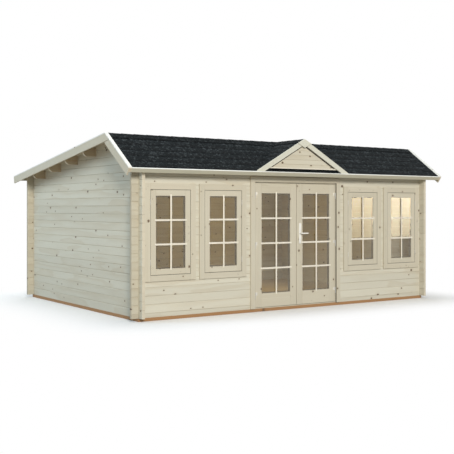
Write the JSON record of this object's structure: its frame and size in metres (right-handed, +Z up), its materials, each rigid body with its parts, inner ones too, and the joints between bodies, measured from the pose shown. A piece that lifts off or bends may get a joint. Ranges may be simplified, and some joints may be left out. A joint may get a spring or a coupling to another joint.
{
  "type": "log-built garden shed",
  "caption": "Log-built garden shed with cross-lapped corners, a glazed double door, paired windows and a steep front, shallow back felted roof with a small dormer.",
  "frame": {"origin": "middle of the footprint on the ground", "axes": "+Z up, -Y towards the front with the door, +X to the right seen from the front"},
  "size_m": [5.826, 4.18, 2.5197],
  "materials": {
    "beam_wood": "brown pressure-treated softwood",
    "floor_wood": "planed bare spruce boards",
    "log_wood": "planed bare spruce logs with small knots",
    "board_wood": "planed bare spruce boards",
    "trim_wood": "planed bare spruce trim",
    "felt": "mineral-faced charcoal roofing felt",
    "glass": "clear flat glass",
    "steel": "zinc-plated steel",
    "handle_metal": "white powder-coated metal"
  },
  "bodies": {
    "shed": {"long_beams": "beam_wood", "cross_beams": "beam_wood", "floor_boards": "floor_wood", "front_wall_left": "log_wood", "front_wall_right": "log_wood", "front_wall_over_door": "log_wood", "back_wall": "log_wood", "left_wall": "log_wood", "right_wall": "log_wood", "purlins": "log_wood", "roof_boards_front": "board_wood", "roof_boards_back": "board_wood", "felt_front": "felt", "felt_back": "felt", "left_verge_boards": "trim_wood", "right_verge_boards": "trim_wood", "left_verge_strips": "trim_wood", "right_verge_strips": "trim_wood", "verge_battens": "trim_wood", "front_fascia": "trim_wood", "back_fascia": "trim_wood", "dormer_roof": "board_wood", "dormer_felt": "felt", "dormer_infill": "trim_wood", "dormer_boards": "trim_wood", "dormer_plate": "trim_wood", "door_frame": "trim_wood", "door_casing": "trim_wood", "frame_hinges_left": "steel", "frame_hinges_right": "steel", "left_window_frames": "trim_wood", "left_window_sashes": "trim_wood", "left_window_glass": "glass", "right_window_frames": "trim_wood", "right_window_sashes": "trim_wood", "right_window_glass": "glass"},
    "left_door": {"left_leaf": "trim_wood", "left_leaf_glass": "glass", "leaf_hinges_left": "steel"},
    "right_door": {"right_leaf": "trim_wood", "right_leaf_glass": "glass", "leaf_hinges_right": "steel", "handle_plates": "handle_metal"},
    "lever": {"door_lever": "handle_metal"}
  },
  "joints": [
    {"name": "left_door_swing", "type": "hinge", "parent": "shed", "child": "left_door", "pos_m": [-0.7605, -1.887, 0.9605], "axis": [0, 0, -1], "range_deg": [0, 105]},
    {"name": "right_door_swing", "type": "hinge", "parent": "shed", "child": "right_door", "pos_m": [0.7605, -1.887, 0.9605], "axis": [0, 0, 1], "range_deg": [0, 105]},
    {"name": "lever_turn", "type": "hinge", "parent": "right_door", "child": "lever", "pos_m": [0.066, -1.858, 1.12], "axis": [0, 1, 0], "range_deg": [0, 40], "stiffness_Nm_per_rad": 1.2, "springref_deg": -20.05}
  ]
}
